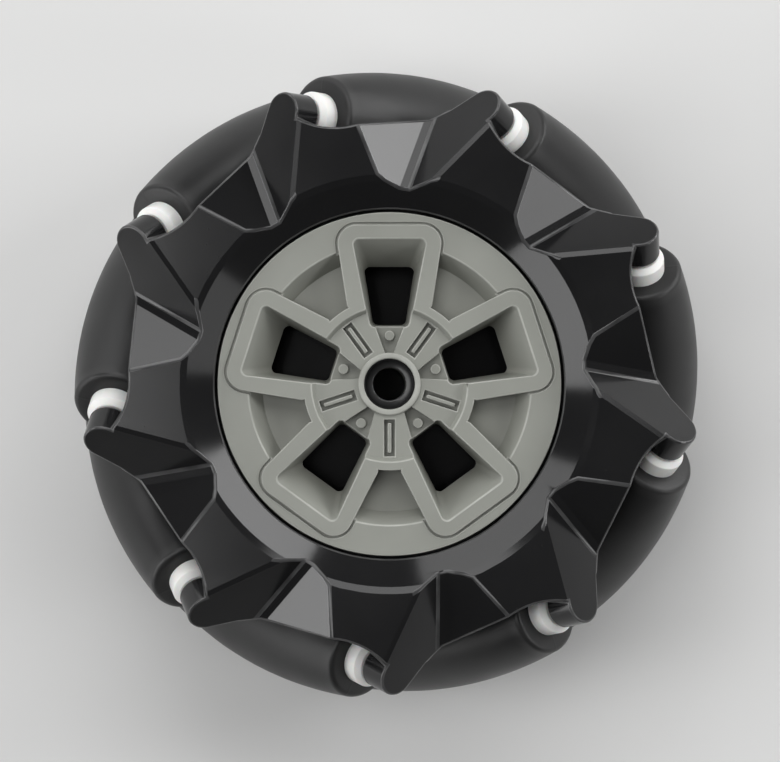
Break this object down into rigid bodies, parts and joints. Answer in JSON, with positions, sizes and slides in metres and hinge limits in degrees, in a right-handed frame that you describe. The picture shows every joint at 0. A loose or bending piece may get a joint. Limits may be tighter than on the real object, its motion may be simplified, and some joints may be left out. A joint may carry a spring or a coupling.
{
  "type": "mecanum wheel",
  "caption": "Omnidirectional wheel: a toothed two-part hub with a spoked insert carries barrel-shaped rubber rollers slanted at 45 degrees, so a vehicle can also move sideways.",
  "frame": {"origin": "on the wheel's axis, in the plane of the rear teeth's flat tops, on which the wheel lies", "axes": "+Z along the wheel's axis from the rear to the front face with the spoked insert; +Y along the insert's first window"},
  "size_m": [0.0799, 0.0799, 0.037],
  "materials": {
    "black_plastic": "glossy moulded black plastic",
    "grey_plastic": "satin light grey moulded plastic",
    "white_nylon": "smooth white nylon",
    "black_rubber": "satin black rubber",
    "steel": "plain bright steel"
  },
  "bodies": {
    "hub": {"front_hub": "black_plastic", "rear_hub": "black_plastic", "spoke_insert": "grey_plastic", "assembly_screws": "steel", "roller_pin_1": "steel", "roller_pin_2": "steel", "roller_pin_3": "steel", "roller_pin_4": "steel", "roller_pin_5": "steel", "roller_pin_6": "steel", "roller_pin_7": "steel", "roller_pin_8": "steel", "roller_pin_9": "steel"},
    "roller_1": {"roller_core_1": "white_nylon", "roller_tyre_1": "black_rubber"},
    "roller_2": {"roller_core_2": "white_nylon", "roller_tyre_2": "black_rubber"},
    "roller_3": {"roller_core_3": "white_nylon", "roller_tyre_3": "black_rubber"},
    "roller_4": {"roller_core_4": "white_nylon", "roller_tyre_4": "black_rubber"},
    "roller_5": {"roller_core_5": "white_nylon", "roller_tyre_5": "black_rubber"},
    "roller_6": {"roller_core_6": "white_nylon", "roller_tyre_6": "black_rubber"},
    "roller_7": {"roller_core_7": "white_nylon", "roller_tyre_7": "black_rubber"},
    "roller_8": {"roller_core_8": "white_nylon", "roller_tyre_8": "black_rubber"},
    "roller_9": {"roller_core_9": "white_nylon", "roller_tyre_9": "black_rubber"}
  },
  "joints": [
    {"name": "roller_1_spin", "type": "hinge", "parent": "hub", "child": "roller_1", "pos_m": [0.03266, 0.00297, 0.0185], "axis": [-0.0641, 0.7042, 0.7071], "continuous": true},
    {"name": "roller_2_spin", "type": "hinge", "parent": "hub", "child": "roller_2", "pos_m": [0.02311, 0.02327, 0.0185], "axis": [-0.5017, 0.4983, 0.7071], "continuous": true},
    {"name": "roller_3_spin", "type": "hinge", "parent": "hub", "child": "roller_3", "pos_m": [0.00274, 0.03268, 0.0185], "axis": [-0.7046, 0.0592, 0.7071], "continuous": true},
    {"name": "roller_4_spin", "type": "hinge", "parent": "hub", "child": "roller_4", "pos_m": [-0.01891, 0.0268, 0.0185], "axis": [-0.5778, -0.4076, 0.7071], "continuous": true},
    {"name": "roller_5_spin", "type": "hinge", "parent": "hub", "child": "roller_5", "pos_m": [-0.03171, 0.00838, 0.0185], "axis": [-0.1806, -0.6836, 0.7071], "continuous": true},
    {"name": "roller_6_spin", "type": "hinge", "parent": "hub", "child": "roller_6", "pos_m": [-0.02968, -0.01397, 0.0185], "axis": [0.3011, -0.6398, 0.7071], "continuous": true},
    {"name": "roller_7_spin", "type": "hinge", "parent": "hub", "child": "roller_7", "pos_m": [-0.01376, -0.02978, 0.0185], "axis": [0.6419, -0.2966, 0.7071], "continuous": true},
    {"name": "roller_8_spin", "type": "hinge", "parent": "hub", "child": "roller_8", "pos_m": [0.0086, -0.03165, 0.0185], "axis": [0.6824, 0.1854, 0.7071], "continuous": true},
    {"name": "roller_9_spin", "type": "hinge", "parent": "hub", "child": "roller_9", "pos_m": [0.02693, -0.01872, 0.0185], "axis": [0.4036, 0.5806, 0.7071], "continuous": true}
  ]
}
